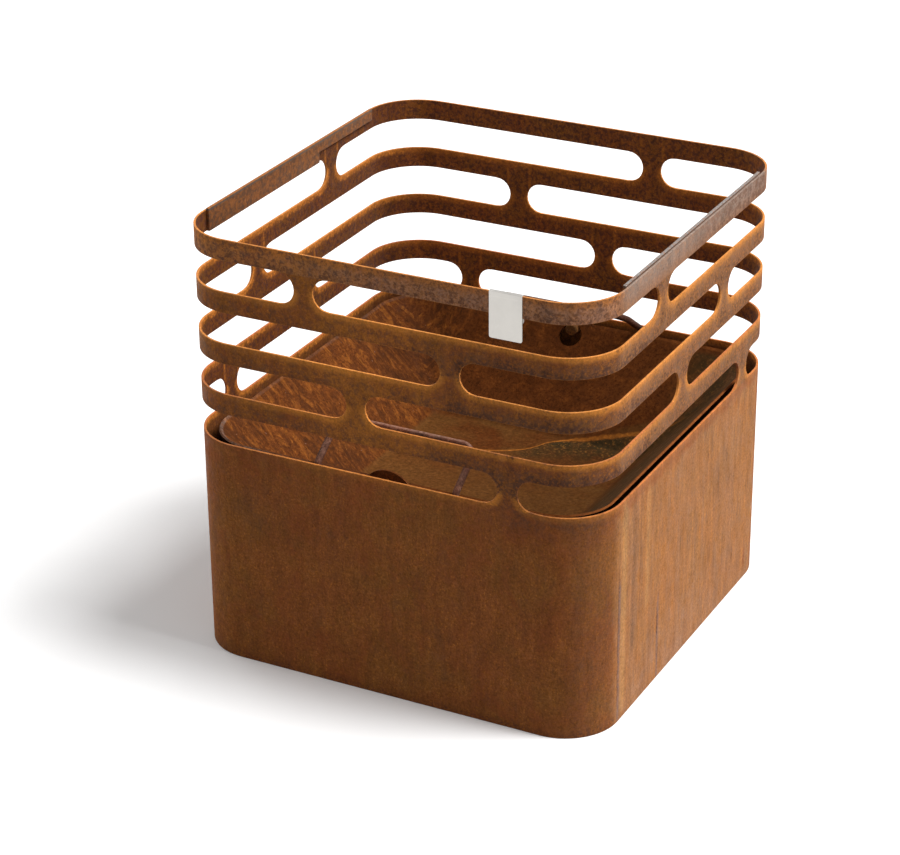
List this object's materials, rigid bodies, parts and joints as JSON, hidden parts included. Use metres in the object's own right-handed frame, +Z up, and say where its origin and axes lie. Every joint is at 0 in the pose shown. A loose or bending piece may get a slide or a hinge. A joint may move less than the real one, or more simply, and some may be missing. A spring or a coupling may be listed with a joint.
{
  "type": "fire basket",
  "caption": "Square fire basket of rusted steel sheet with rows of wrap-round windows and a hopper-shaped fire bowl that turns on pins inside it.",
  "frame": {"origin": "centre of the square on the ground, at the shell's lower edge", "axes": "+X along the front wall to the right, +Y from the front wall to the rear wall, +Z up"},
  "size_m": [0.423, 0.4238, 0.43],
  "materials": {
    "shell_patina": "dull brown and orange rust patina over steel sheet",
    "strip_patina": "thin grey-brown rust with a worn bare top edge",
    "bowl_patina": "dark brown rust with olive water stains",
    "rod_patina": "reddish brown rust on round rod",
    "pin_patina": "brown rust on turned steel",
    "clip_steel": "bare matt stainless steel"
  },
  "bodies": {
    "basket": {"shell": "shell_patina", "left_strip": "strip_patina", "right_strip": "strip_patina", "label_clip": "clip_steel", "front_pivot_pin": "pin_patina", "rear_pivot_pin": "pin_patina"},
    "bowl": {"fire_bowl": "bowl_patina", "front_handle": "rod_patina", "rear_handle": "rod_patina"}
  },
  "joints": [
    {"name": "bowl_turn", "type": "hinge", "parent": "basket", "child": "bowl", "pos_m": [0, 0, 0.214], "axis": [0, 1, 0], "continuous": true}
  ]
}
